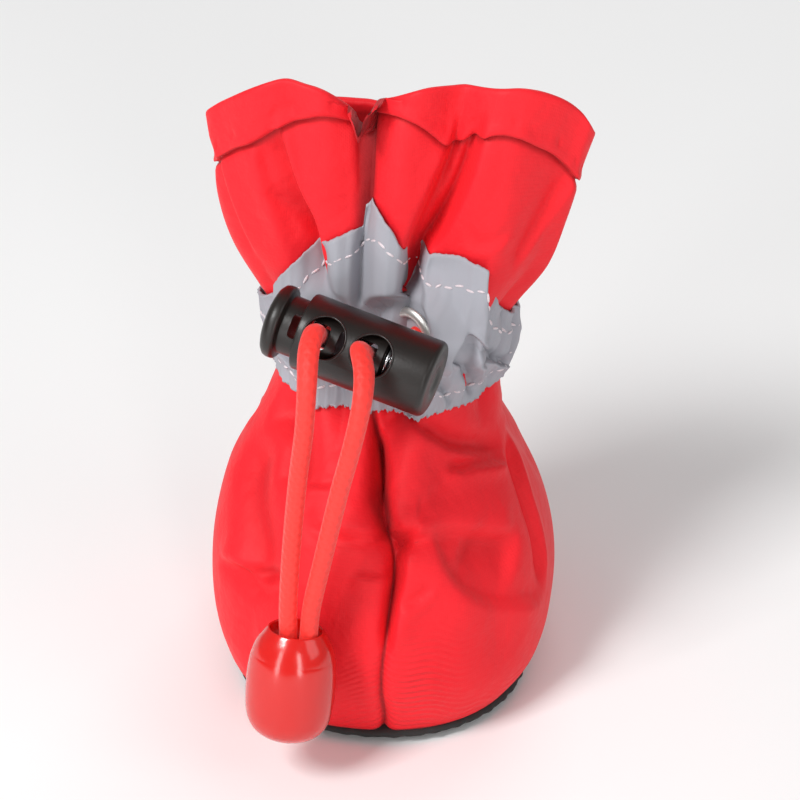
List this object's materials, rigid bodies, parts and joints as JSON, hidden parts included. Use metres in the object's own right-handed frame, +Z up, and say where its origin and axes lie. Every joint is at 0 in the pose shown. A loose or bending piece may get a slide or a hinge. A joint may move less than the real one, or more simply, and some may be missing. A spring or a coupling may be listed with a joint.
{
  "type": "dog bootie",
  "caption": "Soft cloth dog bootie with a thin rubber sole, a reflective gathered ankle band and an elastic draw cord with a spring cord lock and a bell end.",
  "frame": {"origin": "on the sole's underside, where it rests on the floor, in line with the seam down the front and about half way along the sole", "axes": "+Z up out of the sole, -Y towards the toe, +X to the right seen from the toe"},
  "size_m": [0.0568, 0.0743, 0.0986],
  "materials": {
    "red_cloth": "fine plain-weave nylon, softly creased",
    "reflective_tape": "grey retroreflective tape, satin",
    "sole_rubber": "matte, with low grip dots",
    "insole_foam": "matte cloth-faced foam",
    "black_plastic": "satin moulded",
    "red_plastic": "glossy, slightly translucent",
    "red_elastic": "braided elastic",
    "nickel": "polished nickel plate"
  },
  "bodies": {
    "bootie": {"outsole": "sole_rubber", "insole": "insole_foam", "upper": "red_cloth", "reflective_band": "reflective_tape", "eyelet_left": "nickel", "eyelet_right": "nickel", "lock_barrel": "black_plastic", "draw_cord_left": "red_elastic", "draw_cord_right": "red_elastic", "cord_bell": "red_plastic"},
    "plunger": {"lock_plunger": "black_plastic"}
  },
  "joints": [
    {"name": "plunger_press", "type": "slide", "parent": "bootie", "child": "plunger", "axis": [0.9575, -0.2039, -0.2039], "range_m": [0, 0.0025], "stiffness_N_per_m": 200, "springref_m": -0.004}
  ]
}
